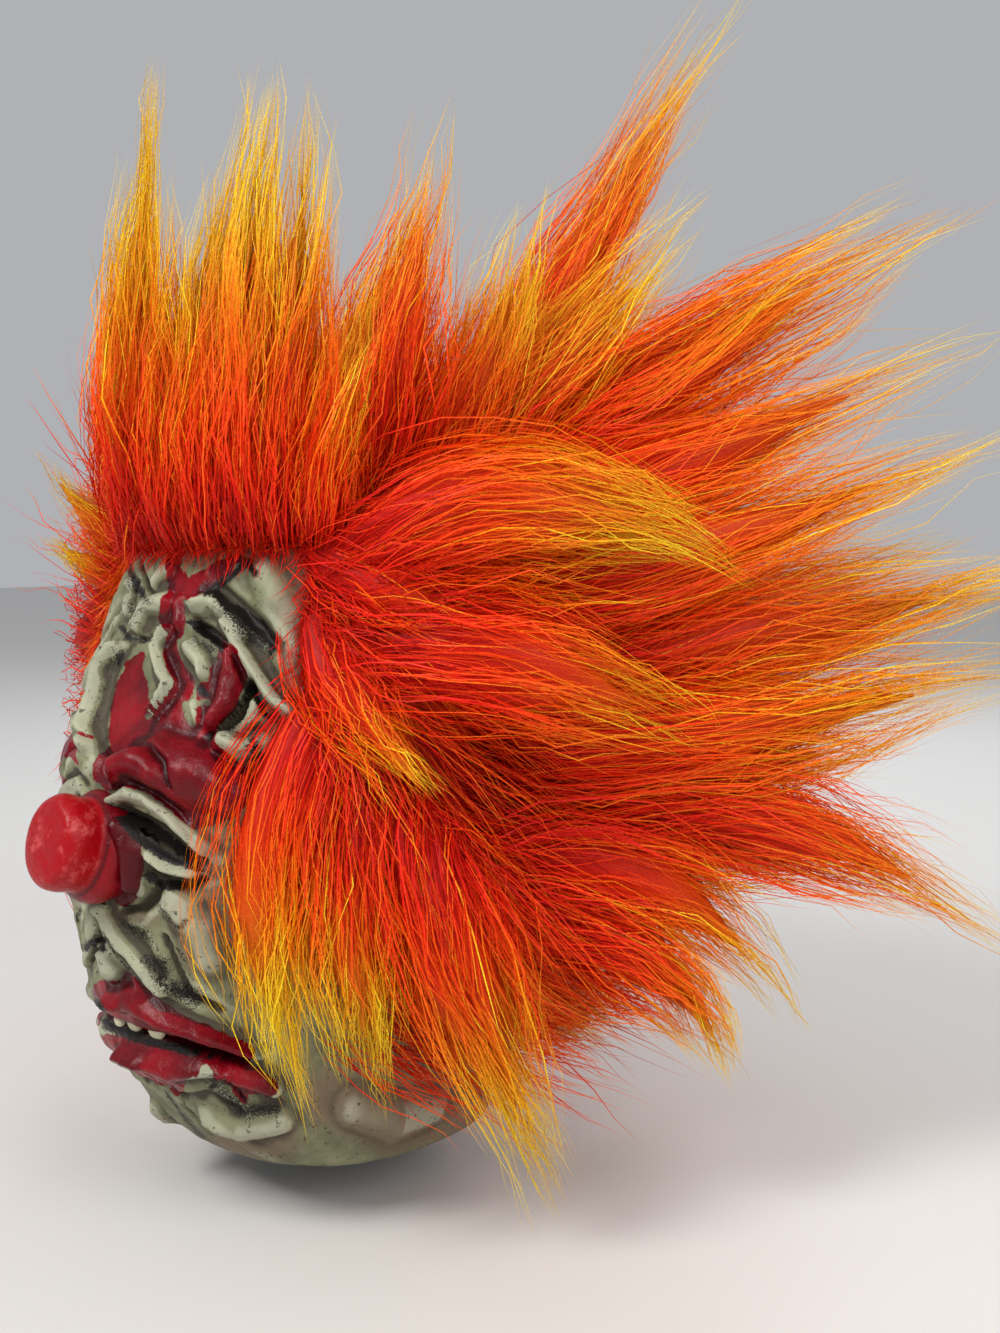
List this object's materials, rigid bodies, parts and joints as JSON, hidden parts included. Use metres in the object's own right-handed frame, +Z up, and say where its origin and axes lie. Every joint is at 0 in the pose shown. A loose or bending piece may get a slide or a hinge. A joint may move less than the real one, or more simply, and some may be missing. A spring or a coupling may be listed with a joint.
{
  "type": "clown mask",
  "caption": "Full-head latex clown mask with a knob nose, painted folds and a wide wig of long flame-coloured fake fur.",
  "frame": {"origin": "inner crown of the latex, where the mask rests on the wearer's head", "axes": "+Z up, the face toward -Y, the mask's own left side toward +X"},
  "size_m": [0.497, 0.4485, 0.4971],
  "materials": {
    "painted_latex": "satin painted latex, glossy red on brow, nose and lips",
    "fake_fur": "long soft synthetic fur, red at the roots, orange to yellow at the tips"
  },
  "bodies": {
    "root": {"mask_skin": "painted_latex", "fur_front": "fake_fur", "fur_top": "fake_fur", "fur_left": "fake_fur", "fur_right": "fake_fur", "fur_back": "fake_fur"}
  },
  "joints": []
}
